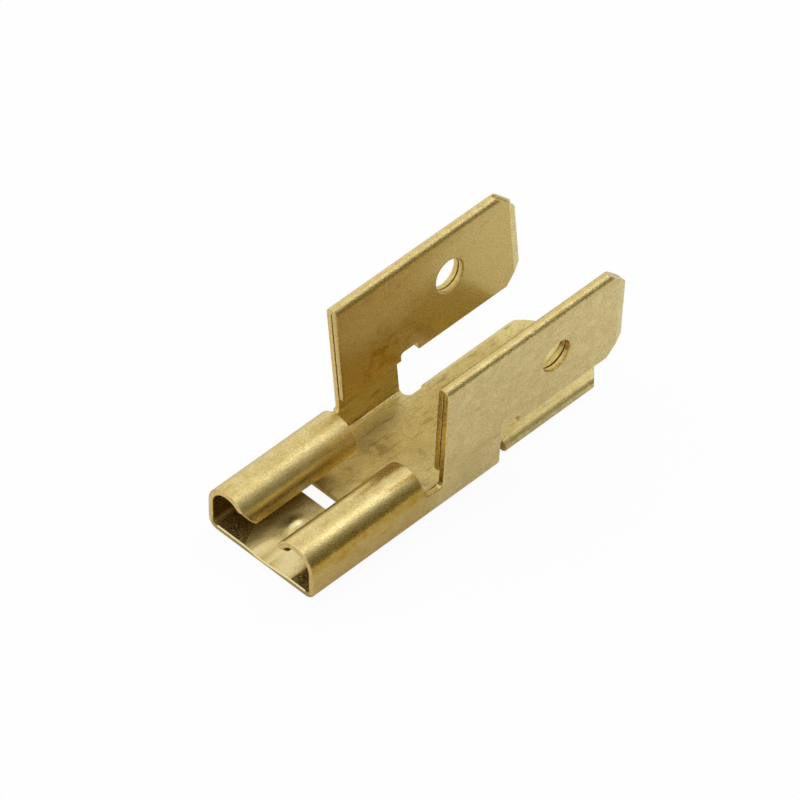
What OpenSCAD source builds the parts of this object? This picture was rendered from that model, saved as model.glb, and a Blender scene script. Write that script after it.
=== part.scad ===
// Spade terminal splitter: one blank of brass sheet, pierced and folded into a
// female receptacle at the front, two upright male tabs on legs, and a flat
// rear tab with hemmed edges between them.
// Millimetres, +Z up, +Y from the receptacle's mouth towards the tab tips.
// Origin: on the base's centreline, half way along, under the rear tab.

/* [Sheet] */
// Thickness of the brass sheet
sheet = 0.36; // [0.3:0.01:0.42]
// Inside radius of the bends along both sides of the base
bend_r = 0.3; // [0.2:0.05:0.5]
// Gap left between the two layers of a folded tab
hem_gap = 0.06; // [0.04:0.01:0.12]

/* [Base] */
// Width over the receptacle's walls and over the legs
base_w = 7.9; // [7.6:0.1:8.6]
// Gap between each roll and the upright tab behind it
roll_gap = 1.25; // [0.6:0.05:2]
// Height over the base of the low wall that crosses that gap
gap_wall_h = 1.75; // [1:0.05:2.4]

/* [Receptacle] */
// Length of the receptacle
socket_len = 8.2; // [7:0.1:10]
// Outer radius of both rolls
roll_r = 1.42; // [1.1:0.02:1.5]
// Height of the left roll's crown over the base
left_roll_h = 3.3; // [2.8:0.02:3.6]
// How far the left roll is turned in, in degrees
left_curl = 176; // [150:1:185]
// Height of the right roll's crown over the base
right_roll_h = 3.16; // [2.8:0.02:3.6]
// How far the right roll is turned in, in degrees
right_curl = 172; // [150:1:185]
// Straight length of the lips below the rolls
lip_len = 0.45; // [0.2:0.05:0.8]
// How far back the lips' front corners are cut, to lead a tab in
lead_in_len = 0.75; // [0.3:0.05:1.2]
// Height of that cut over a lip's lower edge
lead_in_h = 1.15; // [0.6:0.05:1.3]
// Bevel on the floor's front edge
mouth_bevel = 0.06; // [0.04:0.01:0.2]

/* [Detent] */
// Diameter of the dimple in the receptacle's floor
dimple_d = 1.7; // [1.4:0.1:2.4]
// Height of the dimple over the floor
dimple_h = 0.3; // [0.15:0.05:0.4]
// Distance of the dimple's centre from the mouth
dimple_pos = 3.2; // [2.4:0.1:3.6]
// Width of the window behind the dimple
window_w = 4.4; // [2.5:0.1:5.5]
// Length of the window
window_len = 0.92; // [0.5:0.02:1.6]
// Distance of the window's front edge from the mouth
window_pos = 4.88; // [4.8:0.02:5.5]

/* [Tabs] */
// Width of the upright tabs
tab_w = 6.3; // [6:0.1:6.6]
// Length of the tabs behind the legs
tab_len = 9; // [8:0.1:11]
// Length of the legs that carry the upright tabs
leg_len = 4.3; // [3:0.1:6]
// Height of the upright tabs' lower edges over the base
leg_h = 2.7; // [2:0.1:4]
// Outward lean of the left tab, in degrees
left_splay = 5.6; // [0:0.1:8]
// Outward lean of the right tab, in degrees
right_splay = 3.1; // [0:0.1:8]
// Diameter of the locking holes
hole_d = 2; // [1.6:0.1:2.2]
// Distance of the locking holes from the tips
hole_pos = 5.1; // [3.6:0.05:6]
// Distance of the left tab's locking hole from its folded edge
left_hole_drop = 2.85; // [2.6:0.05:3.4]
// Distance of the right tab's locking hole from its folded edge
right_hole_drop = 3.15; // [2.6:0.05:3.4]
// Size of the cut corners at the tips
corner_cut = 1.1; // [0.5:0.1:1.6]
// Length of the bevel at the tips
tip_bevel_len = 0.5; // [0.2:0.05:1]
// Depth of that bevel on each face
tip_bevel_depth = 0.1; // [0.05:0.01:0.25]

/* [Notches] */
// Length of the notch where a tab's lower edge meets its leg
notch_len = 1.3; // [0.8:0.1:2]
// Height of that notch
notch_h = 0.5; // [0.3:0.05:0.8]
// Radius of the notch's corners
notch_r = 0.2; // [0.1:0.05:0.3]

/* [Rear tab] */
// Width of the rear tab
rear_w = 6.4; // [6:0.1:6.6]
// Width of the single sheet between the legs and its folded edges
neck_w = 5.8; // [5.4:0.1:6]
// Distance of its folded edges behind the legs
hem_start = 1.25; // [0.8:0.05:2]
// Gap between its two flaps along the centreline
seam = 0.2; // [0.1:0.05:1]

/* [Hidden] */
$fn = 96;
BRASS = "#b9a161";
// Room that a cutting shape has outside the sheet
over = 1;
// Outer radii of the base bends and of the folded edges
bend_out_r = bend_r + sheet;
hem_r = sheet + hem_gap / 2;
tab_t = 2 * sheet + hem_gap;
// Sphere that the dimple is a cap of
dimple_r = (pow(dimple_d / 2, 2) + pow(dimple_h, 2)) / (2 * dimple_h);
// Stations along the part
part_len = socket_len + roll_gap + leg_len + tab_len;
y_mouth = -part_len / 2;
y_rolls = y_mouth + socket_len;
y_leg = y_rolls + roll_gap;
y_tabs = y_leg + leg_len;
y_hem = y_tabs + hem_start;
y_tip = part_len / 2;
// The base lies one layer and one gap over the underside of the rear tab
z_base = sheet + hem_gap;
z_floor = z_base + sheet;
// Where the flat floor ends and the side bends begin
floor_half = base_w / 2 - bend_out_r;
rear_half = rear_w / 2;
neck_half = neck_w / 2;
// Radius of the corners between the legs and the rear tab, which start just
// inside the legs' ends
neck_r = floor_half - neck_half;
y_neck = y_tabs - 0.05;
// Straight rise of a leg from its bend to the tab's lower edge
leg_rise = leg_h - bend_out_r;

// Folding the sheet in section: each step draws one stretch, with its outside
// face on y = 0 and its inside face on y = sheet, and goes on from its far end.

// A straight stretch
module run(len) {
    square([len, sheet]);
    translate([len, 0]) children();
}

// A bend by an angle towards the inside face, with inside radius r
module fold_in(angle, r) {
    translate([0, sheet + r]) {
        ring_sector(r, -90, angle);
        rotate(angle) translate([0, -sheet - r]) children();
    }
}

// A bend by an angle towards the outside face, with inside radius r
module fold_out(angle, r) {
    translate([0, -r]) {
        ring_sector(r, 90 - angle, angle);
        rotate(-angle) translate([0, r]) children();
    }
}

// The section of one bend, swept from the angle start
module ring_sector(r, start, sweep) {
    reach = 3 * (r + sheet);
    steps = 4;
    fan = [for (i = [0 : steps]) start + sweep * i / steps];
    intersection() {
        difference() {
            circle(r + sheet);
            circle(r);
        }
        polygon(concat([[0, 0]], [for (a = fan) reach * [cos(a), sin(a)]]));
    }
}

// Section of one side wall with its roll and the lip below it
module roll_section(roll_h, curl) {
    fold_in(90, bend_r)
        run(roll_h - roll_r - bend_out_r)
            fold_in(curl, roll_r - sheet)
                run(lip_len);
}

// Section of the low wall between a roll and a tab
module gap_section() {
    fold_in(90, bend_r)
        run(gap_wall_h - bend_out_r);
}

// Section of one leg and the folded tab on it
module tab_section(splay) {
    fold_in(90 - splay, bend_r)
        run(leg_rise + tab_w - hem_r)
            fold_in(180, hem_gap / 2)
                run(tab_w - hem_r);
}

// Section of one hemmed edge of the rear tab
module hem_section() {
    fold_out(180, hem_gap / 2)
        run(rear_half - hem_r - seam / 2);
}

// Draws a section, x outwards and y up, between two stations of the part
module along(y0, y1, x) {
    translate([x, y1, z_base])
        rotate([90, 0, 0]) linear_extrude(y1 - y0) children();
}

// Takes x, y and z to along the part, up and outwards
module side_on() {
    rotate([90, 0, 90]) children();
}

// What the tip of a tab loses, drawn flat: x along the tab, y across its
// width and z through its thickness, both measured from the middle, with the
// locking hole drop below the edge at + width / 2
module tip_cuts(width, drop) {
    edge = width / 2;
    bevel_slope = tip_bevel_depth / tip_bevel_len;
    for (side = [-1, 1])
        linear_extrude(tab_t + over, center = true)
            polygon([
                [y_tip - corner_cut - over, side * (edge + over)],
                [y_tip + over, side * (edge - corner_cut - over)],
                [y_tip + over, side * (edge + over)]
            ]);
    for (face = [90, 270])
        rotate([face, 0, 0]) linear_extrude(width + over, center = true)
            polygon([
                [y_tip - tip_bevel_len, tab_t / 2],
                [y_tip + over, tab_t / 2 - bevel_slope * (tip_bevel_len + over)],
                [y_tip + over, tab_t],
                [y_tip - tip_bevel_len, tab_t]
            ]);
    translate([y_tip - hole_pos, edge - drop, 0])
        cylinder(d = hole_d, h = tab_t + over, center = true);
}

// Side view of what is missing under a tab, behind its leg: x along the part
// and y up the leg from its bend
module under_tab() {
    translate([y_tabs, -base_w]) square([tab_len + over, base_w + leg_rise]);
    translate([y_tabs, 0]) square([notch_len, leg_rise + notch_h - notch_r]);
    translate([y_tabs + notch_r, 0]) square([notch_len - 2 * notch_r, leg_rise + notch_h]);
    for (y = [notch_r, notch_len - notch_r])
        translate([y_tabs + y, leg_rise + notch_h - notch_r]) circle(notch_r);
}

// Side wall and roll of the receptacle on the right, with the lip's front
// corner cut back
module roll(roll_h, curl) {
    edge = roll_h - roll_r - lip_len;
    difference() {
        along(y_mouth, y_rolls, floor_half) roll_section(roll_h, curl);
        translate([0, 0, z_base]) side_on() linear_extrude(base_w / 2 - roll_r)
            polygon([
                [y_mouth, edge + lead_in_h],
                [y_mouth - over, edge + lead_in_h],
                [y_mouth - over, edge - over],
                [y_mouth + lead_in_len * (1 + over / lead_in_h), edge - over]
            ]);
    }
}

// Upright tab on its leg, leaning outwards on the right
module upright_tab(splay, drop) {
    difference() {
        along(y_leg, y_tip, floor_half) tab_section(splay);
        translate([floor_half, 0, z_base + bend_out_r]) rotate([0, splay, 0]) {
            side_on() linear_extrude(base_w, center = true) under_tab();
            translate([bend_out_r - tab_t / 2, 0, leg_rise + tab_w / 2])
                side_on() tip_cuts(tab_w, drop);
        }
    }
}

// Everything of one side that is folded up from the floor, on the right
module side(roll_h, curl, splay, drop) {
    roll(roll_h, curl);
    along(y_rolls, y_leg, floor_half) gap_section();
    upright_tab(splay, drop);
}

// Plan of the floor from the mouth to the start of the rear tab's hems, with
// a round corner behind each leg
module floor_plan() {
    translate([-floor_half, y_mouth]) square([2 * floor_half, y_neck - y_mouth]);
    translate([-neck_half, y_neck]) square([neck_w, y_hem - y_neck]);
    for (hand = [0, 1])
        mirror([hand, 0]) translate([neck_half, y_neck])
            difference() {
                square(neck_r);
                translate([neck_r, neck_r]) circle(neck_r);
            }
}

// Flat floor of the receptacle and the legs, with the dimple and the window
module floor_sheet() {
    dimple_y = y_mouth + dimple_pos;
    dimple_z = z_floor + dimple_h - dimple_r;
    difference() {
        union() {
            translate([0, 0, z_base]) linear_extrude(sheet) floor_plan();
            intersection() {
                translate([0, dimple_y, dimple_z]) sphere(dimple_r);
                translate([-dimple_r, dimple_y - dimple_r, z_floor - sheet / 2])
                    cube([2 * dimple_r, 2 * dimple_r, over]);
            }
        }
        translate([0, dimple_y, dimple_z]) sphere(dimple_r - sheet);
        translate([-window_w / 2, y_mouth + window_pos, z_base - over])
            cube([window_w, window_len, sheet + 2 * over]);
        translate([0, y_mouth, z_floor]) rotate([45, 0, 0])
            cube([2 * floor_half, mouth_bevel * sqrt(2), mouth_bevel * sqrt(2)], center = true);
    }
}

// Rear tab with both edges folded under
module rear_tab() {
    difference() {
        union() {
            translate([hem_r - rear_half, y_hem, z_base])
                cube([rear_w - 2 * hem_r, y_tip - y_hem, sheet]);
            for (hand = [0, 1])
                mirror([hand, 0, 0]) along(y_hem, y_tip, rear_half - hem_r) hem_section();
        }
        translate([0, 0, tab_t / 2]) rotate(90) tip_cuts(rear_w, rear_half);
    }
}

// The whole folded sheet
module splitter() {
    color(BRASS) {
        floor_sheet();
        rear_tab();
        side(right_roll_h, right_curl, right_splay, right_hole_drop);
        mirror([1, 0, 0]) side(left_roll_h, left_curl, left_splay, left_hole_drop);
    }
}

splitter();
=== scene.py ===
"""Looks of a spade terminal splitter: one brass sheet, folded into a receptacle and three tabs.

The sheet is folded here again, stretch by stretch, with the softened edges, the coined scoop and the coarse
grain along the folds that the plain solid lacks. All sizes are in millimetres until the end.
"""

import logging
from dataclasses import dataclass, field
from enum import Enum
from functools import partial
from math import atan2, cos, exp, hypot, radians, sin, tau
from typing import Callable, Iterable

import bmesh
import bpy
from bpy.types import Material, Node, NodeSocket, NodeTree, Object
from mathutils import Matrix, Vector

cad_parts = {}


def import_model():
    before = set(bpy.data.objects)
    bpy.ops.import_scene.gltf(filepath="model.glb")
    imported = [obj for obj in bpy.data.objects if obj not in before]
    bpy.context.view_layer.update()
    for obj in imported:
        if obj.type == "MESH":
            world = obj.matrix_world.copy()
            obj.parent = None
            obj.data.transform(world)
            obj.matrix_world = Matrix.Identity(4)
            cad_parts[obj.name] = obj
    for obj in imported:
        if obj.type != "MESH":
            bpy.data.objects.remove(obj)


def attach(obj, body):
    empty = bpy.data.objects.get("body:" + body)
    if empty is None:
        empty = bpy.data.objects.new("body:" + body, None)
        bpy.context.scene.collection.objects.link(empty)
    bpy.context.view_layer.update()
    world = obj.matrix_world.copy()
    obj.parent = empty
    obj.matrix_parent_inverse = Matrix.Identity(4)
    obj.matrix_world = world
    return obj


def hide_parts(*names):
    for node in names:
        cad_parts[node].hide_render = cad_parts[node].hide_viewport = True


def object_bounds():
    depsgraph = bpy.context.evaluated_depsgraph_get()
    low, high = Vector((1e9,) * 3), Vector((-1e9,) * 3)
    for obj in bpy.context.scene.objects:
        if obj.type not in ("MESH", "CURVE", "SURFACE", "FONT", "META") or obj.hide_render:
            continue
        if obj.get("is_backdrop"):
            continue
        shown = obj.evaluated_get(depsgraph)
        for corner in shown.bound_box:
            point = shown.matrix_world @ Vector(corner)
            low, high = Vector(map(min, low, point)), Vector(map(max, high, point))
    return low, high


LOG = logging.getLogger("splitter")
MM = 0.001
# Two points closer than this, in millimetres, are one
SAME = 1e-3


class Pick(Enum):
    """What a selection in edit mode picks."""

    EDGE = "EDGE"
    FACE = "FACE"


class Skin(Enum):
    """Material slots of the sheet, in order."""

    INSIDE = 0
    SHEARED = 1
    OUTSIDE = 2
    COINED = 3


def linear(code: str) -> tuple[float, float, float, float]:
    """Turns an sRGB hex colour into linear values.

    Args:
        code: Six hex digits after a hash sign.

    Returns:
        Red, green, blue and an alpha of one.
    """
    parts = [int(code[i:i + 2], 16) / 255 for i in (1, 3, 5)]
    red, green, blue = [c / 12.92 if c <= 0.04045 else ((c + 0.055) / 1.055) ** 2.4 for c in parts]
    return red, green, blue, 1.0


def clamp(value: float) -> float:
    """Keeps a value between 0 and 1."""
    return min(1.0, max(0.0, value))


def circle(x: float, y: float, radius: float, steps: int) -> list[tuple[float, float]]:
    """Gives the corners of a round outline."""
    turns = [tau * i / steps for i in range(steps)]
    return [(x + radius * cos(a), y + radius * sin(a)) for a in turns]


def quarter(x: float, y: float, radius: float, start: float) -> list[tuple[float, float]]:
    """Gives the points of a quarter circle, in ten steps on from an angle in degrees."""
    turns = [radians(start + 9 * i) for i in range(11)]
    return [(x + radius * cos(a), y + radius * sin(a)) for a in turns]


def add_node(tree: NodeTree, kind: str, inputs: dict | None = None, **settings) -> Node:
    """Adds one shader node, with its settings and its inputs.

    Args:
        tree: The node tree to add to.
        kind: The node's type name, without what all shader nodes' names start with.
        inputs: Socket name or number to a value, to an output, or to a node whose first output is meant.
        **settings: Attributes of the node.

    Returns:
        The new node.
    """
    node = tree.nodes.new("ShaderNode" + kind)
    for name, value in settings.items():
        setattr(node, name, value)
    for key, value in (inputs or {}).items():
        if isinstance(value, Node):
            value = value.outputs[0]
        if isinstance(value, NodeSocket):
            tree.links.new(value, node.inputs[key])
        else:
            node.inputs[key].default_value = value
    return node


def start_material(name: str) -> tuple[Material, NodeTree, Node]:
    """Starts a material.

    Args:
        name: Its name.

    Returns:
        The material, its node tree and its shader.
    """
    material = bpy.data.materials.new(name)
    material.use_nodes = True
    return material, material.node_tree, material.node_tree.nodes["Principled BSDF"]


def pick(piece: Object, what: Pick, test: Callable[[Vector], bool]) -> None:
    """Selects, in edit mode, the edges or faces whose corners all pass a test.

    Args:
        piece: The object in edit mode.
        what: Edges or faces.
        test: Takes a corner's place and says whether it belongs.
    """
    bpy.ops.mesh.select_mode(type=what.value)
    bpy.ops.mesh.select_all(action="DESELECT")
    work = bmesh.from_edit_mesh(piece.data)
    for item in work.edges if what is Pick.EDGE else work.faces:
        if all(test(v.co) for v in item.verts):
            item.select_set(True)
    work.select_flush_mode()
    bmesh.update_edit_mesh(piece.data)


def apply_modifier(piece: Object, kind: str, **settings) -> None:
    """Adds a modifier with its settings and applies it at once.

    Args:
        piece: The object that gets it, in object mode.
        kind: The modifier's type name.
        **settings: Attributes of the modifier.
    """
    bpy.ops.object.select_all(action="DESELECT")
    piece.select_set(True)
    bpy.context.view_layer.objects.active = piece
    modifier = piece.modifiers.new(kind.title(), kind)
    for name, value in settings.items():
        setattr(modifier, name, value)
    bpy.ops.object.modifier_apply(modifier=modifier.name)


@dataclass(frozen=True)
class Hand:
    """One side of the part, with the sizes in which the two sides differ."""

    sign: int
    roll_h: float
    curl: float
    splay: float
    hole_drop: float
    lead_in: float
    # How matt the roll is, from 0 to 1
    dull: float
    # How much longer the cut of the tab's upper corner is on its flap
    corner_step: float


@dataclass
class FoldLine:
    """The outer edge of the sheet while it is being folded, as a place and a heading in section."""

    sheet: float
    sign: int
    x: float
    z: float
    angle: float = 0.0

    def run(self, length: float) -> None:
        """Draws the selected edges on, straight ahead.

        Args:
            length: How far.
        """
        turn = radians(self.angle)
        step = Vector((self.sign * cos(turn), 0.0, sin(turn))) * length
        bpy.ops.mesh.extrude_edges_move(TRANSFORM_OT_translate={"value": step})
        self.x += step.x
        self.z += step.z

    def bend(self, angle: float, inside_r: float, steps: int, outwards: bool = False) -> None:
        """Bends the selected edges towards the sheet's inside face, or outwards.

        Args:
            angle: How far, in degrees.
            inside_r: Radius on the hollow side of the bend.
            steps: Number of faces round the bend.
            outwards: True for a bend towards the outside face.
        """
        radius = -inside_r if outwards else inside_r + self.sheet
        heading = radians(self.angle)
        centre = Vector((
            self.x - self.sign * radius * sin(heading), 0.0, self.z + radius * cos(heading),
        ))
        way = -1 if outwards else 1
        bpy.ops.mesh.spin(
            steps=steps, angle=radians(angle), center=centre, axis=(0.0, way * self.sign, 0.0),
            use_auto_merge=False,
        )
        self.angle += way * angle
        heading = radians(self.angle)
        self.x = centre.x + self.sign * radius * sin(heading)
        self.z = centre.z - radius * cos(heading)


@dataclass
class FoldedSheet:
    """The splitter: a pierced blank, its side walls rolled in, its legs and tabs folded up and doubled."""

    # The sheet and its bends
    sheet: float = 0.36
    bend_r: float = 0.3
    bend_sharp: float = 6.0
    bend_steps: int = 20
    hem_gap: float = 0.06
    hem_steps: int = 14
    base_w: float = 7.9
    # The receptacle
    socket_len: float = 8.2
    roll_r: float = 1.42
    roll_steps: int = 40
    lip_len: float = 0.45
    lead_in_len: float = 0.75
    lip_round: float = 0.5
    mouth_bevel: float = 0.06
    # Its floor, finely divided where the dimple and the scoop are pressed
    patch_half: float = 1.275
    patch_cuts: int = 31
    dimple_h: float = 0.3
    dimple_pos: float = 3.2
    dimple_crest: tuple[float, float] = (-0.45, -0.25)
    dimple_waist: tuple[float, float] = (0.52, 0.7)
    dimple_steep: float = 2.5
    dimple_foot: float = 0.05
    scoop_half: float = 1.15
    scoop_len: float = 2.1
    scoop_soft: float = 1.5
    scoop_depth: float = 0.14
    scoop_fade: tuple[float, float] = (0.5, 2.2)
    window_w: float = 4.4
    window_len: float = 0.92
    window_pos: float = 4.88
    # The slots behind the rolls
    roll_gap: float = 1.25
    gap_wall_h: float = 1.75
    slot_r: float = 0.3
    slot_steps: int = 3
    trim: float = 0.1
    # The tabs
    tab_w: float = 6.3
    tab_len: float = 9.0
    leg_len: float = 4.3
    leg_h: float = 2.7
    hole_d: float = 2.0
    hole_pos: float = 5.1
    hole_steps: int = 48
    corner_cut: float = 1.1
    tip_bevel_len: float = 0.5
    tip_bevel_depth: float = 0.1
    notch_len: float = 1.3
    notch_h: float = 0.5
    notch_r: float = 0.2
    rear_w: float = 6.4
    neck_w: float = 5.8
    neck_steps: int = 40
    hem_start: float = 1.25
    seam: float = 0.2
    # How far the cutters of a tab's tip reach past the metal
    cut_spare: float = 0.8
    # Softened edges, and the angles in degrees from which one is softened and shades as an edge
    edge_soft: float = 0.03
    edge_drawn: float = 0.08
    edge_angle: float = 32.0
    smooth_angle: float = 35.0
    # Painted shade: how dark the legs and the tabs' inner flaps, the floor's front cut face and the walls of
    # the rolls are painted, and how that runs up the rolls
    flap_shade: float = 0.45
    mouth_shade: float = 0.7
    wall_shade: float = 0.7
    shade_climb: float = 1.2
    shade_end: float = 0.88
    shade_fade: float = 0.38
    # How matt the folds and the rear floor are, and how far the matt middle of the front floor reaches
    fold_dull: float = 0.08
    floor_dull: float = 0.4
    matt_half: float = 1.9
    # How fast the painted highlight in the scoop comes on, and how coarse the grain of the rolls is
    highlight_gain: float = 4.0
    roll_bend: float = 0.35
    hands: tuple[Hand, Hand] = (
        Hand(
            sign=1, roll_h=3.16, curl=172.0, splay=3.1, hole_drop=3.15, lead_in=0.9,
            dull=0.08, corner_step=0.0,
        ),
        Hand(
            sign=-1, roll_h=3.3, curl=176.0, splay=5.6, hole_drop=2.85, lead_in=1.15,
            dull=0.9, corner_step=0.2,
        ),
    )
    piece: Object | None = field(default=None, init=False)

    def __post_init__(self) -> None:
        """Works out the stations along the part and the heights that follow from the sizes."""
        self.bend_out_r = self.bend_r + self.sheet
        self.hem_r = self.sheet + self.hem_gap / 2
        self.tab_t = 2 * self.sheet + self.hem_gap
        self.y_mouth = -(self.socket_len + self.roll_gap + self.leg_len + self.tab_len) / 2
        self.y_rolls = self.y_mouth + self.socket_len
        self.y_leg = self.y_rolls + self.roll_gap
        self.y_tabs = self.y_leg + self.leg_len
        self.y_roll_end = self.y_rolls + self.trim
        self.y_leg_start = self.y_leg - self.trim
        self.y_hem = self.y_tabs + self.hem_start
        self.y_tip = -self.y_mouth
        self.y_dimple = self.y_mouth + self.dimple_pos
        self.y_window = self.y_mouth + self.window_pos
        self.z_base = self.sheet + self.hem_gap
        self.z_floor = self.z_base + self.sheet
        self.floor_half = self.base_w / 2 - self.bend_out_r
        self.neck_half = self.neck_w / 2
        self.neck_r = self.floor_half - self.neck_half
        self.hem_line = self.rear_w / 2 - self.hem_r
        self.leg_rise = self.leg_h - self.bend_out_r

    def build(self) -> Object:
        """Makes the whole sheet, in metres.

        Returns:
            The finished object at the origin.
        """
        self._lay_blank()
        for hand in self.hands:
            self._fold_roll(hand)
            self._fold_tab(hand)
            self._join_gap_wall(hand)
            self._fold_hem(hand)
        self._thicken()
        self._bevel_mouth()
        self._press_floor()
        for hand in self.hands:
            self._press_bend(hand)
        for hand in self.hands:
            self._cut_slot(hand)
            self._round_neck(hand)
            self._pierce_tab(hand)
            self._cut_lead_in(hand)
        self._pierce_rear_tab()
        self._soften()
        return self.piece

    def _lay_blank(self) -> None:
        """Lays the flat floor and rear tab, with the window, on the level of the base's underside."""
        bpy.ops.object.select_all(action="DESELECT")
        bpy.ops.mesh.primitive_plane_add(size=1, location=(0, 0, 0))
        self.piece = bpy.context.object
        self.piece.name = "folded_sheet"
        bpy.ops.object.mode_set(mode="EDIT")
        bpy.ops.mesh.select_all(action="SELECT")
        span = (2 * self.floor_half, self.y_tip - self.y_mouth, 1)
        bpy.ops.transform.resize(value=span, center_override=(0, 0, 0))
        bpy.ops.transform.translate(value=(0, 0, self.z_base))
        across = (self.neck_half, self.hem_line, self.window_w / 2, self.patch_half)
        for x in [s * v for v in across for s in (-1, 1)]:
            self._score((x, 0, 0), (1, 0, 0))
        patch_end = self.y_dimple + self.patch_half
        along = (
            self.y_window, self.y_window + self.window_len, self.y_roll_end, self.y_leg_start, self.y_tabs,
            self.y_tabs + self.neck_r, self.y_hem, self.y_dimple - self.patch_half, patch_end,
        )
        for y in along:
            self._score((0, y, 0), (0, 1, 0))
        self._drop(lambda p: abs(p.x) > self.neck_half - SAME and p.y > self.y_tabs + self.neck_r - SAME)
        self._drop(lambda p: abs(p.x) > self.hem_line - SAME and p.y > self.y_hem - SAME)
        self._drop(lambda p: abs(p.x) < self.window_w / 2 + SAME
                   and -SAME < p.y - self.y_window < self.window_len + SAME)
        pick(self.piece, Pick.FACE, lambda p: -self.patch_half < p.x + SAME
             and p.x < self.window_w / 2 + SAME and p.y < patch_end + SAME)
        bpy.ops.mesh.subdivide(number_cuts=self.patch_cuts)

    def _score(self, point: Iterable[float], normal: Iterable[float]) -> None:
        """Scores a line right across the blank, through a point and at right angles to a direction."""
        bpy.ops.mesh.select_all(action="SELECT")
        bpy.ops.mesh.bisect(plane_co=point, plane_no=normal, threshold=SAME / 10)

    def _drop(self, test: Callable[[Vector], bool]) -> None:
        """Deletes the faces whose corners all pass a test."""
        pick(self.piece, Pick.FACE, test)
        bpy.ops.mesh.delete(type="FACE")

    def _start_fold(self, hand: Hand, x: float, y0: float, y1: float) -> FoldLine:
        """Selects the blank's edges on one side's line between two stations and starts a fold there."""
        pick(self.piece, Pick.EDGE, lambda p: abs(p.x - hand.sign * x) < SAME
             and abs(p.z - self.z_base) < SAME and y0 - SAME < p.y < y1 + SAME)
        return FoldLine(self.sheet, hand.sign, hand.sign * x, self.z_base)

    def _fold_roll(self, hand: Hand) -> None:
        """Folds up one side wall, rolls it in and turns the lip down.

        Args:
            hand: The side.
        """
        line = self._start_fold(hand, self.floor_half, self.y_mouth, self.y_roll_end)
        line.bend(90.0, self.bend_r, self.bend_steps)
        line.run(hand.roll_h - self.roll_r - self.bend_out_r)
        line.bend(hand.curl, self.roll_r - self.sheet, self.roll_steps)
        line.run(self.lip_len)

    def _fold_tab(self, hand: Hand) -> None:
        """Folds up one leg, draws out its tab and folds the tab double over its top edge.

        Args:
            hand: The side.
        """
        line = self._start_fold(hand, self.floor_half, self.y_leg_start, self.y_tabs)
        line.bend(90.0 - hand.splay, self.bend_r, self.bend_steps)
        wall = hand.roll_h - self.roll_r - self.bend_out_r
        line.run(wall)
        for _ in range(self.slot_steps):
            line.run(self.slot_r / self.slot_steps)
        line.run(self.leg_rise - wall - self.slot_r)
        line.run(self.tab_w - self.hem_r)
        outside = self.floor_half + SAME
        lower_edge = line.z - self.tab_w + self.hem_r - SAME
        pick(self.piece, Pick.EDGE, lambda p: hand.sign * p.x > outside and abs(p.y - self.y_tabs) < SAME
             and p.z > lower_edge)
        bpy.ops.mesh.extrude_edges_move(TRANSFORM_OT_translate={"value": (0, self.tab_len, 0)})
        pick(self.piece, Pick.EDGE, lambda p: hand.sign * p.x > outside and abs(p.z - line.z) < SAME)
        line.bend(180.0, self.hem_gap / 2, self.hem_steps)
        line.run(self.tab_w - self.hem_r)

    def _join_gap_wall(self, hand: Hand) -> None:
        """Joins the roll's wall and the leg, up to where the slot between them has its round corners.

        Args:
            hand: The side.
        """
        turn = radians(self.slot_steps * hand.curl / self.roll_steps)
        spare = 0.04
        top = self.z_base + hand.roll_h - self.roll_r + self.roll_r * sin(turn) + spare
        stations = (self.y_roll_end, self.y_leg_start)
        work = bmesh.from_edit_mesh(self.piece.data)
        bpy.ops.mesh.select_all(action="DESELECT")
        for edge in work.edges:
            ends = [v.co for v in edge.verts]
            on_wall = all(hand.sign * p.x > self.floor_half - SAME and p.z < top for p in ends)
            if on_wall and any(all(abs(p.y - y) < SAME for p in ends) for y in stations):
                edge.select_set(True)
        bmesh.update_edit_mesh(self.piece.data)
        bpy.ops.mesh.bridge_edge_loops()

    def _fold_hem(self, hand: Hand) -> None:
        """Folds one edge of the rear tab underneath.

        Args:
            hand: The side.
        """
        line = self._start_fold(hand, self.hem_line, self.y_hem, self.y_tip)
        line.bend(180.0, self.hem_gap / 2, self.hem_steps, outwards=True)
        line.run(self.hem_line - self.seam / 2)

    def _thicken(self) -> None:
        """Turns all faces the same way and gives the sheet its thickness on the inside."""
        bpy.ops.mesh.select_all(action="SELECT")
        bpy.ops.mesh.remove_doubles(threshold=SAME)
        bpy.ops.mesh.normals_make_consistent(inside=False)
        work = bmesh.from_edit_mesh(self.piece.data)
        floor = min(work.faces, key=lambda f: f.calc_center_median().y)
        if floor.normal.z < 0:
            bpy.ops.mesh.flip_normals()
        bpy.ops.object.mode_set(mode="OBJECT")
        for _ in Skin:
            self.piece.data.materials.append(None)
        apply_modifier(
            self.piece, "SOLIDIFY", thickness=self.sheet, offset=1.0, use_even_offset=True,
            use_quality_normals=True,
            material_offset=Skin.OUTSIDE.value, material_offset_rim=Skin.SHEARED.value,
        )

    def _press_floor(self) -> None:
        """Presses the dimple up through the receptacle's floor and coins the lead-in scoop before it."""
        for vert in self.piece.data.vertices:
            rise = vert.co.z - self.z_base
            if -SAME < rise < self.sheet + SAME:
                vert.co.z += self.dimple_h * self._swell(vert.co)
                if rise > self.sheet / 2:
                    vert.co.z -= self.scoop_depth * self._dish(vert.co)

    def _swell(self, point: Vector) -> float:
        """Tells how far the dimple lifts the floor at a point.

        Args:
            point: A place on the floor.

        Returns:
            1 on the crest, 0 outside the dimple.
        """
        across = (point.x - self.dimple_crest[0]) / self.dimple_waist[0]
        along = (point.y - self.y_dimple - self.dimple_crest[1]) / self.dimple_waist[1]
        bulge = exp(-hypot(across, along) ** self.dimple_steep)
        return max(0.0, bulge - self.dimple_foot) / (1 - self.dimple_foot)

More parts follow.
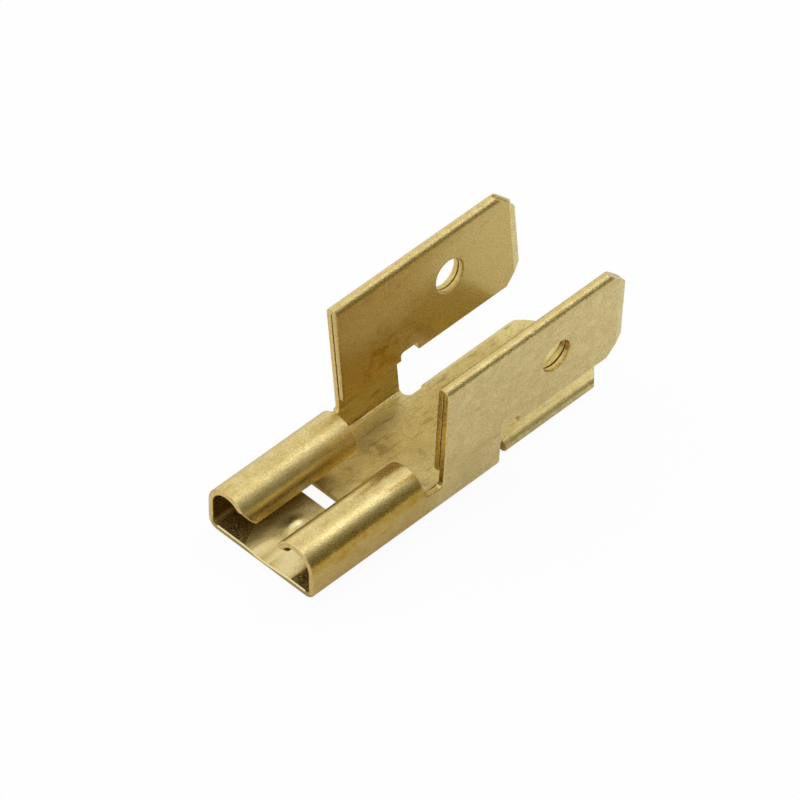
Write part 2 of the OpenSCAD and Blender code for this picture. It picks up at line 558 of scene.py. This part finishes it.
    def _dish(self, point: Vector) -> float:
        """Tells how deep the lead-in scoop is at a point.

        Args:
            point: A place on the floor.

        Returns:
            1 in the deepest place, at the mouth's edge, 0 outside the scoop.
        """
        start, end = self.scoop_fade
        ring = hypot(min(0.0, point.x) / self.scoop_half, (point.y - self.y_mouth) / self.scoop_len)
        bowl = max(0.0, 1 - ring ** 2) ** self.scoop_soft
        return bowl * clamp((end - point.x) / (end - start))

    def _press_bend(self, hand: Hand) -> None:
        """Presses the inside of one side's base bend into a sharper corner, as the bending die leaves it.

        Args:
            hand: The side.
        """
        axis_x, axis_z = hand.sign * self.floor_half, self.z_base + self.bend_out_r
        for vert in self.piece.data.vertices:
            out, down = hand.sign * (vert.co.x - axis_x), axis_z - vert.co.z
            if abs(hypot(out, down) - self.bend_r) > SAME or out < SAME:
                continue
            whole = radians(90.0 if vert.co.y < self.y_roll_end + SAME else 90.0 - hand.splay)
            turn = atan2(out, down)
            spread = cos(turn) ** self.bend_sharp + cos(whole - turn) ** self.bend_sharp
            reach = spread ** (-1 / self.bend_sharp)
            vert.co.x = axis_x + hand.sign * out * reach
            vert.co.z = axis_z - down * reach

    def _cut(
        self, outline: list[tuple[float, float]], depth: float, place: Matrix, skin: Skin = Skin.SHEARED,
    ) -> None:
        """Draws an outline, extrudes it into a cutter and takes that out of the sheet.

        Args:
            outline: Corners in the cutter's own x and y.
            depth: Whole height along its own z, half of it each way.
            place: Where the cutter goes.
            skin: What the cut faces look like.
        """
        bpy.ops.object.select_all(action="DESELECT")
        bpy.ops.mesh.primitive_circle_add(vertices=len(outline), radius=1, fill_type="NGON")
        cutter = bpy.context.object
        bpy.ops.object.mode_set(mode="EDIT")
        work = bmesh.from_edit_mesh(cutter.data)
        loop = next(iter(work.faces)).verts
        for vert, (x, y) in zip(loop, outline):
            vert.co = (x, y, -depth / 2)
        bmesh.update_edit_mesh(cutter.data)
        bpy.ops.mesh.select_all(action="SELECT")
        bpy.ops.mesh.extrude_region_move(TRANSFORM_OT_translate={"value": (0, 0, depth)})
        bpy.ops.mesh.select_all(action="SELECT")
        bpy.ops.mesh.normals_make_consistent(inside=False)
        bpy.ops.object.mode_set(mode="OBJECT")
        cutter.data.transform(place)
        if place.is_negative:
            cutter.data.flip_normals()
        for _ in Skin:
            cutter.data.materials.append(None)
        for face in cutter.data.polygons:
            face.material_index = skin.value
        apply_modifier(self.piece, "BOOLEAN", object=cutter, operation="DIFFERENCE", solver="EXACT")
        bpy.data.objects.remove(cutter)

    def _tab_place(self, hand: Hand) -> Matrix:
        """Gives where a tab's own x along, y up and z outwards lie.

        Args:
            hand: The side.

        Returns:
            The place, with y = 0 at the end of the leg's bend and z = 0 in the middle of the doubled sheet.
        """
        lean = radians(hand.splay)
        along = Vector((0, 1, 0))
        up = Vector((hand.sign * sin(lean), 0, cos(lean)))
        out = Vector((hand.sign * cos(lean), 0, -sin(lean)))
        middle = self.bend_out_r - self.tab_t / 2
        origin = Vector((hand.sign * self.floor_half, 0, self.z_base + self.bend_out_r)) + out * middle
        return Matrix.Translation(origin) @ Matrix((along, up, out)).transposed().to_4x4()

    def _side_on(self, x: float, z: float) -> Matrix:
        """Gives a place whose own x runs along the part, y up and z to the right."""
        axes = Matrix(((0, 0, 1), (1, 0, 0), (0, 1, 0))).to_4x4()
        return Matrix.Translation((x, 0, z)) @ axes

    def _corner(self, edge: float, way: int, cut: float) -> list[tuple[float, float]]:
        """Outlines a cutter for a corner of a tab's tip, at its upper edge (way 1) or its lower one (-1)."""
        spare = self.cut_spare
        return [
            (self.y_tip - cut - spare, edge + way * spare),
            (self.y_tip + spare, edge - way * (cut + spare)),
            (self.y_tip + spare, edge + way * spare),
        ]

    def _cut_tip(self, place: Matrix, low: float, high: float, hole_y: float) -> None:
        """Cuts a tab's corners, bevels its tip and pierces its locking hole.

        Args:
            place: Where the tab's own x, y and z lie, with z = 0 in its middle.
            low: One edge of the tab, in its own y.
            high: The other edge.
            hole_y: The hole's place across the tab.
        """
        deep = 2 * self.tab_t
        for edge, way in ((low, -1), (high, 1)):
            self._cut(self._corner(edge, way, self.corner_cut), deep, place)
        start, end = self.y_tip - self.tip_bevel_len, self.y_tip + self.cut_spare
        drop = self.tip_bevel_depth / self.tip_bevel_len * (end - start)
        turn = Matrix.Rotation(radians(90), 4, "X")
        centre = Matrix.Translation((0, (low + high) / 2, 0))
        for way in (-1, 1):
            self._cut([
                (start, way * self.tab_t / 2),
                (end, way * (self.tab_t / 2 - drop)),
                (end, way * self.tab_t),
                (start, way * self.tab_t),
            ], high - low + self.cut_spare, place @ centre @ turn, Skin.COINED)
        hole = circle(self.y_tip - self.hole_pos, hole_y, self.hole_d / 2, self.hole_steps)
        self._cut(hole, deep, place)

    def _pierce_tab(self, hand: Hand) -> None:
        """Finishes one upright tab: its tip, its locking hole and the notch behind its leg.

        Args:
            hand: The side.
        """
        place = self._tab_place(hand)
        low, high = self.leg_rise, self.leg_rise + self.tab_w
        self._cut_tip(place, low, high, high - hand.hole_drop)
        if hand.corner_step:
            # The flap's upper corner is cut back a little more than the wall's behind it
            near, far = self.hem_gap / 4, self.tab_t
            flap = place @ Matrix.Translation((0, 0, -(near + far) / 2))
            self._cut(self._corner(high, 1, self.corner_cut + hand.corner_step), far - near, flap)
        start, end, foot = self.y_tabs, self.y_tabs + self.notch_len, low - self.notch_h
        radius = self.notch_r
        round_y = low + self.notch_h - radius
        self._cut([
            (end, foot), *quarter(end - radius, round_y, radius, 0.0),
            *quarter(start + radius, round_y, radius, 90.0), (start, foot),
        ], 2 * self.tab_t, place)

    def _pierce_rear_tab(self) -> None:
        """Finishes the rear tab: its tip and its locking hole."""
        place = Matrix.Translation((0, 0, self.tab_t / 2)) @ Matrix.Rotation(radians(90), 4, "Z")
        self._cut_tip(place, -self.rear_w / 2, self.rear_w / 2, 0.0)

    def _cut_slot(self, hand: Hand) -> None:
        """Cuts the slot between one roll and the tab behind it, with round corners at its foot.

        Args:
            hand: The side.
        """
        radius = self.slot_r
        round_y = self.gap_wall_h + radius
        top = self.leg_h + self.tab_w + 1
        near, far = 0.8, self.base_w / 2 + 1
        self._cut([
            (self.y_rolls, top), *quarter(self.y_rolls + radius, round_y, radius, 180.0),
            *quarter(self.y_leg - radius, round_y, radius, 270.0), (self.y_leg, top),
        ], far - near, self._side_on(hand.sign * (near + far) / 2, self.z_base))

    def _round_neck(self, hand: Hand) -> None:
        """Rounds the corner between one leg and the rear tab.

        Args:
            hand: The side.
        """
        deep = 0.02
        ring = circle(0.0, 0.0, self.neck_r + deep / 2, self.neck_steps)
        middle_y = self.y_tabs + self.neck_r - deep
        place = Matrix.Translation((hand.sign * self.floor_half, middle_y, self.z_base + self.sheet / 2))
        self._cut(ring, 3 * self.sheet, place)

    def _cut_lead_in(self, hand: Hand) -> None:
        """Cuts back the front corner of one lip and rounds what is left of it.

        Args:
            hand: The side.
        """
        edge = hand.roll_h - self.roll_r - self.lip_len
        spare, sink, steps = 0.6, 0.02, 6
        reach = self.base_w / 2 - self.roll_r
        slant = hypot(self.lead_in_len, hand.lead_in)
        corner = Vector((self.y_mouth + self.lead_in_len, edge))
        # The round runs from just under the lip's edge to the slant
        first = corner + Vector((0.7 * self.lip_round, -sink))
        last = corner + Vector((-self.lead_in_len, hand.lead_in)) * self.lip_round / slant
        outline = [
            (self.y_mouth, edge + hand.lead_in),
            (self.y_mouth - spare, edge + hand.lead_in),
            (self.y_mouth - spare, edge - spare),
            (first.x, edge - spare),
        ]
        for t in [i / steps for i in range(steps + 1)]:
            outline.append(tuple(first * (1 - t) ** 2 + corner * 2 * t * (1 - t) + last * t ** 2))
        self._cut(outline, reach, self._side_on(hand.sign * reach / 2, self.z_base))

    def _bevel_mouth(self) -> None:
        """Bevels the upper front edge of the receptacle's floor."""
        place = self._side_on(0, self.z_floor)
        far = 3 * self.mouth_bevel
        self._cut([
            (self.y_mouth - far, -self.mouth_bevel - far),
            (self.y_mouth + self.mouth_bevel + far, far),
            (self.y_mouth - far, far),
        ], 2 * self.floor_half, place, Skin.COINED)

    def _soften(self) -> None:
        """Rounds every sharp edge a little, marks the points for the finishes and goes over to metres."""
        self._clean()
        bpy.ops.object.mode_set(mode="EDIT")
        self._weigh_edges()
        bpy.ops.object.mode_set(mode="OBJECT")
        apply_modifier(
            self.piece, "BEVEL", width=self.edge_drawn, segments=3, limit_method="WEIGHT",
            use_clamp_overlap=False, miter_outer="MITER_ARC",
        )
        self._clean()
        self._mark_points()
        bpy.ops.object.mode_set(mode="EDIT")
        bpy.ops.mesh.select_all(action="SELECT")
        bpy.ops.transform.resize(value=(MM, MM, MM), center_override=(0, 0, 0))
        bpy.ops.object.mode_set(mode="OBJECT")
        bpy.ops.object.shade_smooth_by_angle(angle=radians(self.smooth_angle))
        apply_modifier(self.piece, "WEIGHTED_NORMAL", keep_sharp=True, weight=80)

    def _clean(self) -> None:
        """Merges points that lie together and dissolves the faces that this leaves without an area."""
        bpy.ops.object.mode_set(mode="EDIT")
        bpy.ops.mesh.select_all(action="SELECT")
        bpy.ops.mesh.remove_doubles(threshold=SAME / 2)
        bpy.ops.mesh.dissolve_degenerate(threshold=SAME / 2)
        bpy.ops.object.mode_set(mode="OBJECT")

    def _weigh_edges(self) -> None:
        """Says how round each cut edge gets: more on the outside face, where the punch drew the metal in."""
        work = bmesh.from_edit_mesh(self.piece.data)
        weight = work.edges.layers.float.new("bevel_weight_edge")
        for edge in work.edges:
            skins = {face.material_index for face in edge.link_faces}
            if Skin.SHEARED.value in skins and edge.calc_face_angle(0) > radians(self.edge_angle):
                if all(self._on_mouth_bevel(v.co) for v in edge.verts):
                    continue
                edge[weight] = 1.0 if Skin.OUTSIDE.value in skins else self.edge_soft / self.edge_drawn
        bmesh.update_edit_mesh(self.piece.data)

    def _on_mouth_bevel(self, point: Vector) -> bool:
        """Tells whether a point lies on the bevel along the front of the floor."""
        near = point.y < self.y_mouth + 2 * self.mouth_bevel and abs(point.x) < self.floor_half + SAME
        return near and self.z_base + SAME < point.z < self.z_floor + SAME

    def _mark_points(self) -> None:
        """Stores at every point how far the sheet is bent, how much painted shade it gets, how matt it is
        and how much painted highlight it gets, each from 0 to 1.
        """
        measures = {
            "bend": self._bend_at, "shade_mask": self._painted_shade_at, "matt": self._matt_at, "highlight_mask": self._painted_highlight_at,
        }
        for name, measure in measures.items():
            values = self.piece.data.attributes.new(name, "FLOAT", "POINT")
            for vert, item in zip(self.piece.data.vertices, values.data):
                item.value = clamp(measure(vert.co))

    def _hand_at(self, point: Vector) -> Hand:
        """Tells which side a point is on."""
        return self.hands[0] if point.x > 0 else self.hands[1]

    def _roll_rise(self, point: Vector) -> float:
        """Tells how high a point is over its roll's axis: 0 beside the axis, 1 on the roll's crown."""
        return (point.z - self.z_base - self._hand_at(point).roll_h + self.roll_r) / self.roll_r

    def _painted_shade_at(self, point: Vector) -> float:
        """Tells how much painted shade darkens the sheet at a point.

        Args:
            point: A place on the sheet.

        Returns:
            About 1 on the outer flank of the rolls, less on the walls under them, inside the tabs and on the
            front of the floor, 0 elsewhere.
        """
        if point.y < self.y_mouth + SAME:
            return self.mouth_shade if point.z < self.z_floor else 0.0
        on_tab = self._tab_place(self._hand_at(point)).inverted() @ point
        if point.y > self.y_leg - SAME and on_tab.y > -SAME and abs(on_tab.z) < self.tab_t / 2 + SAME:
            on_leg = on_tab.y < self.leg_rise and on_tab.z < self.hem_gap
            return self.flap_shade if on_leg else self.flap_shade * max(0.0, -2 * on_tab.z / self.tab_t)
        if abs(point.x) < self.base_w / 2 - self.roll_r:
            return 0.0
        rise = self._roll_rise(point)
        flank = min((self.shade_end - rise) / self.shade_fade, self.wall_shade + self.shade_climb * max(0.0, rise))
        return max(0.0, flank) * clamp((self.y_leg - point.y) / self.roll_gap)

    def _matt_at(self, point: Vector) -> float:
        """Tells how matt the sheet is at a point.

        Args:
            point: A place on the sheet.

        Returns:
            1 in the middle of the receptacle's floor, less between the tabs and in the bends, 0 elsewhere.
        """
        if abs(point.x) > self.floor_half or point.z > self.z_floor + self.sheet:
            dull = self._hand_at(point).dull if point.y < self.y_roll_end else self.fold_dull
            return dull * self._bend_at(point)
        if point.y > self.y_window:
            return self.floor_dull
        return (1 - self._painted_highlight_at(point)) * clamp(self.matt_half - abs(point.x))

    def _painted_highlight_at(self, point: Vector) -> float:
        """Tells how much painted highlight lightens the receptacle's floor at a point.

        Args:
            point: A place on the sheet.

        Returns:
            1 on the mouth's bevel, in the scoop and on the dimple, 0 away from them.
        """
        if self._on_mouth_bevel(point):
            return 1.0
        if abs(point.x) > self.floor_half or not self.sheet / 4 < point.z - self.z_base < 2 * self.sheet:
            return 0.0
        return min(1.0, self.highlight_gain * self._dish(point) + self._swell(point))

    def _bend_at(self, point: Vector) -> float:
        """Tells how far the sheet is bent at a point.

        Args:
            point: A place on the sheet.

        Returns:
            Near 1 in the tight bends and folds, about a third in the rolls, 0 where the sheet is flat.
        """
        out = abs(point.x) - self.floor_half
        down = self.z_base + self.bend_out_r - point.z
        if point.y > self.y_hem and abs(point.x) > self.hem_line and point.z < self.z_floor + SAME:
            return 1.0
        if point.y < self.y_tabs + SAME and out > 0 and down > 0:
            return sin(2 * atan2(out, down))
        if point.y < self.y_rolls + SAME:
            return self.roll_bend * clamp(3 * self._roll_rise(point))
        up = (self._tab_place(self._hand_at(point)).inverted() @ point).y
        return clamp(2 * (up - self.leg_rise - self.tab_w + 1.5 * self.hem_r) / self.hem_r)


@dataclass(frozen=True)
class Mark:
    """A handling mark: where it is and how far it reaches, in millimetres, and how dark it is."""

    place: tuple[float, float, float]
    reach: float
    depth: float


@dataclass(frozen=True)
class RolledBrass:
    """Rolled sheet brass, left raw: a satin yellow metal with fine grain, cloudy patches and stains, and
    painted shade and a painted highlight where the sheet's points are marked for them.

    The grain sparkles, because its facets lie at slightly different angles. Where the sheet is bent, the
    stretched grain stands out like orange peel. Each pattern is given as so many to the millimetre.
    """

    name: str
    # Moves the patterns, in millimetres, so that no two finishes show the same ones
    shift: float
    # How strongly the painted shade and the handling stains show
    shade_depth: float
    smudge: float
    marks: tuple[Mark, ...] = ()
    dark: str = "#CBB36B"
    base: str = "#DCC479"
    light: str = "#E8D28A"
    # Colour of the painted highlight on the scoop, the dimple and the mouth's bevel
    bright: str = "#EEDC98"
    # Colour that both the stains and the painted shade darken to
    stain_and_shade: str = "#AC8C3C"
    smooth: float = 0.17
    rough: float = 0.52
    matt_gain: float = 0.4
    # Grain about 0.07 mm across, coarser than the real 0.03 mm so that it shows, and its height
    grain: float = 13.0
    grain_h: float = 1.2e-3
    # Cloudy patches, 0.6 mm wide and finer
    cloud: float = 1.6
    # Handling stains a few millimetres apart, three times as long as wide
    blot: float = 0.55
    blot_draw: float = 0.33
    # Rolling streaks, 0.2 mm wide and 1.3 mm long
    streak: float = 5.0
    streak_draw: float = 0.15
    # Matt flecks of 0.03 mm, too fine to see one by one, that spread the gloss
    fleck: float = 30.0
    # Orange peel about 0.08 mm across, and how much higher than the grain it is
    peel: float = 12.0
    peel_gain: float = 22.0

    def make(self) -> Material:
        """Makes the material.

        Returns:
            The material.
        """
        material, tree, shader = start_material(self.name)
        node = partial(add_node, tree)
        shader.inputs["Metallic"].default_value = 1.0
        place = node("TexCoord").outputs["Object"]
        even = self._in_mm(tree, place, 1.0)
        grain = node("TexNoise", {"Vector": even, "Scale": self.grain, "Detail": 1.0})
        cloud = node("TexNoise", {"Vector": even, "Scale": self.cloud, "Detail": 5.0, "Roughness": 0.75})
        tone = node("Math", {0: grain, 1: 1.1, 2: -0.55}, operation="MULTIPLY_ADD")
        tone = node("Math", {0: cloud, 1: tone}, operation="ADD")
        ramp = node("ValToRGB", {0: tone})
        ramp.color_ramp.elements[0].position = 0.3
        ramp.color_ramp.elements[0].color = linear(self.dark)
        ramp.color_ramp.elements[1].position = 0.7
        ramp.color_ramp.elements[1].color = linear(self.light)
        ramp.color_ramp.elements.new(0.5).color = linear(self.base)
        colour = node("Mix", {
            0: self._stained_and_shaded(tree, place, cloud), 6: ramp, 7: linear(self.stain_and_shade),
        }, data_type="RGBA")
        # Painted highlight: the scoop, the dimple and the mouth's bevel are made lighter
        highlight_mask = node("Attribute", attribute_name="highlight_mask").outputs["Fac"]
        colour = node("Mix", {0: highlight_mask, 6: colour.outputs[2], 7: linear(self.bright)}, data_type="RGBA")
        tree.links.new(colour.outputs[2], shader.inputs["Base Color"])
        fleck = node("TexNoise", {"Vector": even, "Scale": self.fleck, "Detail": 0.0})
        satin = node("MapRange", {
            "Value": fleck, "From Min": 0.5, "From Max": 0.64, "To Min": self.smooth, "To Max": self.rough,
        })
        matt = node("Attribute", attribute_name="matt").outputs["Fac"]
        satin = node("Math", {0: matt, 1: self.matt_gain, 2: satin}, operation="MULTIPLY_ADD")
        tree.links.new(satin.outputs[0], shader.inputs["Roughness"])
        peel = node("TexNoise", {"Vector": even, "Scale": self.peel, "Detail": 2.0, "Roughness": 0.55})
        bent = node("Attribute", attribute_name="bend").outputs["Fac"]
        peel = node("Math", {0: peel, 1: bent}, operation="MULTIPLY")
        rise = node("Math", {0: peel, 1: self.peel_gain, 2: grain}, operation="MULTIPLY_ADD")
        bump = node("Bump", {"Strength": 1.0, "Distance": MM * self.grain_h, "Height": rise})
        tree.links.new(bump.outputs[0], shader.inputs["Normal"])
        return material

    def _in_mm(self, tree: NodeTree, place: NodeSocket, draw: float) -> Node:
        """Turns places into millimetres, drawn out along the rolling where draw is below 1."""
        return add_node(tree, "Mapping", {
            "Vector": place, "Location": (self.shift, self.shift, self.shift),
            "Scale": (1 / MM, draw / MM, 1 / MM),
        })

    def _stained_and_shaded(self, tree: NodeTree, place: NodeSocket, cloud: Node) -> Node:
        """Works out how dark the sheet is stained, and how dark painted shade makes it.

        Args:
            tree: The material's node tree.
            place: Places on the part, in metres.
            cloud: The cloudy patches, which break up the marks and the painted shade.

        Returns:
            The node that says it, from 0 to 1.
        """
        node = partial(add_node, tree)
        blot = node("TexNoise", {
            "Vector": self._in_mm(tree, place, self.blot_draw), "Scale": self.blot,
            "Detail": 6.0, "Roughness": 0.68, "Distortion": 0.4,
        })
        blot = node("MapRange", {
            "Value": blot, "From Min": 0.56, "From Max": 0.74, "To Max": self.smudge,
        }, interpolation_type="SMOOTHSTEP")
        streak = node("TexNoise", {
            "Vector": self._in_mm(tree, place, self.streak_draw), "Scale": self.streak,
            "Detail": 3.0, "Roughness": 0.6,
        })
        streak = node("MapRange", {
            "Value": streak, "From Min": 0.57, "From Max": 0.76, "To Max": self.smudge,
        })
        stained = node("Math", {0: blot, 1: streak}, operation="ADD")
        # Handling marks, broken up into dabs
        dabs = node("MapRange", {
            "Value": cloud, "From Min": 0.42, "From Max": 0.6,
        }, interpolation_type="SMOOTHSTEP")
        for mark in self.marks:
            away = node("VectorMath", {0: place, 1: [MM * v for v in mark.place]}, operation="DISTANCE")
            near = node("MapRange", {
                "Value": away.outputs["Value"], "From Max": MM * mark.reach,
                "To Min": mark.depth, "To Max": 0.0,
            }, interpolation_type="SMOOTHSTEP")
            stained = node("Math", {0: near, 1: dabs, 2: stained}, operation="MULTIPLY_ADD")
        # Painted shade, in patches, where the sheet's points are marked for it
        painted_shade = node("Attribute", attribute_name="shade_mask").outputs["Fac"]
        patchy = node("MapRange", {
            "Value": cloud, "From Min": 0.35, "From Max": 0.65,
            "To Min": 0.6 * self.shade_depth, "To Max": 1.4 * self.shade_depth,
        })
        return node("Math", {0: painted_shade, 1: patchy, 2: stained}, operation="MULTIPLY_ADD", use_clamp=True)


@dataclass(frozen=True)
class ShearedBrass:
    """The cut edges of the sheet: the same brass, burnished and torn by the die, duller and streaked."""

    dark: str = "#C2A250"
    light: str = "#E8CC7C"
    painted_shade: str = "#A08840"
    # Colour of the painted shade on the floor's front cut face
    smooth: float = 0.18
    rough: float = 0.4
    # Torn metal, in flecks about 0.12 mm across, so many to the millimetre, and their height
    torn: float = 7.0
    torn_h: float = 0.012

    def make(self) -> Material:
        """Makes the material.

        Returns:
            The material.
        """
        material, tree, shader = start_material("brass_sheared_edge")
        node = partial(add_node, tree)
        shader.inputs["Metallic"].default_value = 1.0
        place = node("TexCoord").outputs["Object"]
        even = node("Mapping", {"Vector": place, "Scale": (1 / MM, 1 / MM, 1 / MM)})
        torn = node("TexNoise", {"Vector": even, "Scale": self.torn, "Detail": 4.0, "Roughness": 0.7})
        ramp = node("ValToRGB", {0: torn})
        ramp.color_ramp.elements[0].position = 0.32
        ramp.color_ramp.elements[0].color = linear(self.dark)
        ramp.color_ramp.elements[1].position = 0.66
        ramp.color_ramp.elements[1].color = linear(self.light)
        # Painted shade darkens the front cut face of the floor, which stands close over the table
        painted_shade = node("Attribute", attribute_name="shade_mask").outputs["Fac"]
        colour = node("Mix", {0: painted_shade, 6: ramp, 7: linear(self.painted_shade)}, data_type="RGBA")
        tree.links.new(colour.outputs[2], shader.inputs["Base Color"])
        satin = node("MapRange", {
            "Value": torn, "From Min": 0.3, "From Max": 0.7, "To Min": self.smooth, "To Max": self.rough,
        })
        tree.links.new(satin.outputs[0], shader.inputs["Roughness"])
        bump = node("Bump", {"Strength": 1.0, "Distance": MM * self.torn_h, "Height": torn})
        tree.links.new(bump.outputs[0], shader.inputs["Normal"])
        return material


@dataclass(frozen=True)
class PhotoCamera:
    """The photograph's viewpoint, as bearings and millimetres."""

    azimuth: float = 45.085
    elevation: float = 45.939
    roll: float = 0.172
    distance: float = 453.4
    focal: float = 388.1
    sensor: float = 36.0
    # What it looks at, and how far it stands to the right of that and above it, in its own picture
    centre: tuple[float, float, float] = (0.0, -1.375, 3.42)
    aside: float = 0.17
    above: float = 1.364

    def place(self) -> None:
        """Adds the camera and makes it the scene's own."""
        turn, tilt, lean = (radians(v) for v in (self.azimuth, 90.0 - self.elevation, self.roll))
        axes = Matrix.Rotation(turn, 4, "Z") @ Matrix.Rotation(tilt, 4, "X") @ Matrix.Rotation(lean, 4, "Z")
        where = Vector(self.centre) + axes @ Vector((self.aside, self.above, self.distance))
        lens = bpy.data.cameras.new("photo_camera")
        lens.lens = self.focal
        lens.sensor_width = self.sensor
        lens.clip_start = 0.01
        lens.clip_end = 20.0
        holder = bpy.data.objects.new("photo_camera", lens)
        holder.matrix_world = Matrix.Translation(where * MM) @ axes
        bpy.context.scene.collection.objects.link(holder)
        bpy.context.scene.camera = holder


@dataclass(frozen=True)
class Beam:
    """A soft round patch of light in the sky: where it is, how quickly it fades and how strong it is."""

    way: tuple[float, float, float]
    fade: float
    strength: float


@dataclass(frozen=True)
class Studio:
    """A white table under a broad soft lamp and a weak one in front, in a room bright on its left."""

    floor_half: float = 2.0
    # Brightness of the room from its left, at -1, to its right, at 1
    room: tuple[tuple[float, float], ...] = (
        (-0.9, 1.08), (-0.6, 0.93), (-0.2, 0.86), (0.1, 0.72), (0.35, 0.42), (0.6, 0.24), (0.85, 0.14),
    )
    dim_tint: tuple[float, float, float] = (1.0, 0.99, 0.84)
    bright_tint: tuple[float, float, float] = (1.0, 1.02, 1.18)
    lamp_colour: str = "#CFD7FF"
    # The lamp over the part's back, with a halo round its core, and the weak one in front
    beams: tuple[Beam, ...] = (
        Beam(way=(0.15, 0.49, 0.859), fade=35.0, strength=1.7),
        Beam(way=(0.15, 0.49, 0.859), fade=12.0, strength=0.51),
        Beam(way=(0.25, -0.5, 0.83), fade=5.0, strength=1.0),
    )
    # How white the table is by itself, to the camera and, where the part shades it, to what mirrors it
    table: str = "#F4F4F4"
    table_glow: float = 0.945
    mirror_glow: float = 0.12

    def build(self) -> None:
        """Adds the floor and the light."""
        self._floor()
        self._sky()

    def _floor(self) -> None:
        """Lays the floor under the part."""
        bpy.ops.object.select_all(action="DESELECT")
        bpy.ops.mesh.primitive_plane_add(size=2 * self.floor_half, location=(0, 0, 0))
        floor = bpy.context.object
        floor.name = "floor"
        material, tree, shader = start_material("white_paper_sweep")
        node = partial(add_node, tree)
        shader.inputs["Base Color"].default_value = linear(self.table)
        shader.inputs["Roughness"].default_value = 0.9
        rays = node("LightPath").outputs
        mirrored = node("Math", {
            0: rays["Is Glossy Ray"], 1: rays["Is Transmission Ray"],
        }, operation="MAXIMUM")
        mirrored = node("Math", {0: mirrored, 1: self.mirror_glow}, operation="MULTIPLY")
        share = node("Math", {
            0: rays["Is Camera Ray"], 1: self.table_glow, 2: mirrored,
        }, operation="MULTIPLY_ADD")
        glow = node("Emission", {"Color": (1, 1, 1, 1), "Strength": 1.0})
        mix = node("MixShader", {0: share, 1: shader, 2: glow})
        tree.links.new(mix.outputs[0], tree.nodes["Material Output"].inputs["Surface"])
        floor.data.materials.append(material)
        floor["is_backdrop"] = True

    def _sky(self) -> None:
        """Makes the light: the room from left to right, and the lamps in it."""
        world = bpy.data.worlds.new("studio")
        bpy.context.scene.world = world
        world.use_nodes = True
        tree = world.node_tree
        node = partial(add_node, tree)
        look = node("TexCoord").outputs["Generated"]
        split = node("SeparateXYZ", {0: look})
        across = node("MapRange", {"Value": split.outputs["X"], "From Min": -1.0})
        room = node("ValToRGB", {0: across})
        stops = room.color_ramp.elements
        while len(stops) < len(self.room):
            stops.new(0.5)
        for stop, (x, level) in zip(stops, self.room):
            stop.position = (x + 1) / 2
            tint = Vector(self.dim_tint).lerp(Vector(self.bright_tint), min(1.0, level))
            stop.color = (*(level * tint), 1.0)
        glow = 0.0
        for beam in self.beams:
            facing = node("VectorMath", {0: look, 1: beam.way}, operation="DOT_PRODUCT")
            facing = node("Math", {0: facing.outputs["Value"], 1: 0.0}, operation="MAXIMUM")
            facing = node("Math", {0: facing, 1: beam.fade}, operation="POWER")
            glow = node("Math", {0: facing, 1: beam.strength, 2: glow}, operation="MULTIPLY_ADD")
        back = tree.nodes["Background"]
        tree.links.new(room.outputs["Color"], back.inputs["Color"])
        lamp = node("Background", {"Color": linear(self.lamp_colour), "Strength": glow})
        both = node("AddShader", {0: back, 1: lamp})
        tree.links.new(both.outputs[0], tree.nodes["World Output"].inputs["Surface"])


def main(cad_box: object) -> None:
    """Builds the part, its finishes, the studio and the camera, in that order.

    Args:
        cad_box: The solid's box, kept from straight after loading. Not used.
    """
    logging.basicConfig(level=logging.INFO, format="%(name)s: %(message)s")
    sheet = FoldedSheet().build()
    finishes = {
        # Each sheet finish darkens towards its stain colour both for its stains and for its painted shade
        Skin.INSIDE: RolledBrass(
            "brass_rolled_sheet_inside", shift=0.0, shade_depth=0.9, smudge=0.65,
            dark="#CEB971", base="#DFCA7F", light="#EBD890", stain_and_shade="#8C6C2A",
            marks=(
                Mark((-1.3, -1.6, 0.8), 1.7, 0.7),
                Mark((-1.2, -3.6, 0.8), 1.0, 0.55),
                Mark((0.6, 0.1, 0.8), 1.2, 0.5),
            ),
        ),
        Skin.SHEARED: ShearedBrass(),
        Skin.OUTSIDE: RolledBrass(
            "brass_rolled_sheet_outside", shift=23.0, shade_depth=0.8, smudge=0.4, stain_and_shade="#B8922E",
            marks=(
                Mark((-3.8, 1.0, 4.6), 2.8, 0.6),
                Mark((-3.8, 3.5, 4.2), 1.4, 0.5),
                Mark((4.4, 0.1, 2.7), 1.6, 0.4),
            ),
        ),
        # Lighter than the rolled sheet: partly the burnish the coining tool gives, partly painted highlight
        # on the bevels
        Skin.COINED: RolledBrass(
            "brass_coined_bevel", shift=11.0, shade_depth=0.0, smudge=0.2,
            dark="#D2BE76", base="#E2CE85", light="#EBD990",
        ),
    }
    for skin, finish in finishes.items():
        sheet.data.materials[skin.value] = finish.make()
    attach(sheet, "root")
    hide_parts("splitter")
    LOG.info("%s: %d faces", sheet.name, len(sheet.data.polygons))
    Studio().build()
    PhotoCamera().place()
    bpy.context.scene.view_settings.view_transform = "Standard"


if __name__ == "__main__":
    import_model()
    main(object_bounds())
